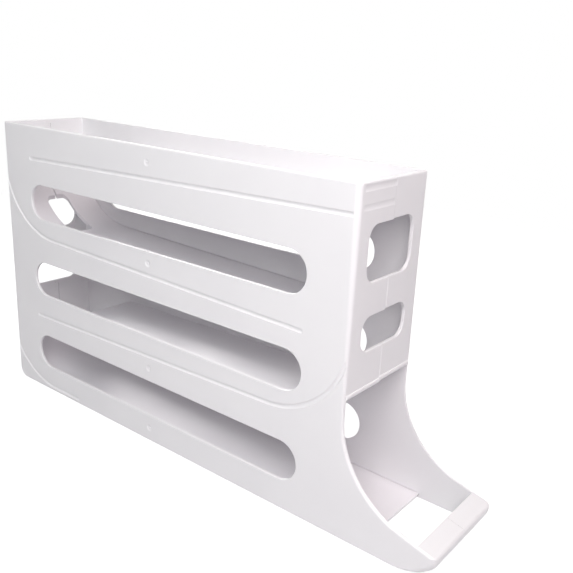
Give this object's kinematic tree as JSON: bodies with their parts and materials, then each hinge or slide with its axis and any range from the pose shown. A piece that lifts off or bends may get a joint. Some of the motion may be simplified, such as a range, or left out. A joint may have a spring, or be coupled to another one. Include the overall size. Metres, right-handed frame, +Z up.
{
  "type": "rolling egg dispenser",
  "caption": "Narrow upright egg dispenser: eggs laid in at the open top roll down sloping ramps between two snapped half shells to a low tray with a lip.",
  "frame": {"origin": "centre of the bounding box's bottom, on the surface that the dispenser stands on", "axes": "+X along the length towards the mouth and the lip, +Y from the near side panel to the far one, +Z up"},
  "size_m": [0.3664, 0.068, 0.198],
  "materials": {
    "shell": "satin to glossy white, as moulded",
    "ramps": "satin white, as moulded"
  },
  "bodies": {
    "root": {"near_half_shell": "shell", "far_half_shell": "shell", "ramp_1_top": "ramps", "ramp_2_upper": "ramps", "ramp_3_lower": "ramps", "ramp_4_bottom": "ramps"}
  },
  "joints": []
}
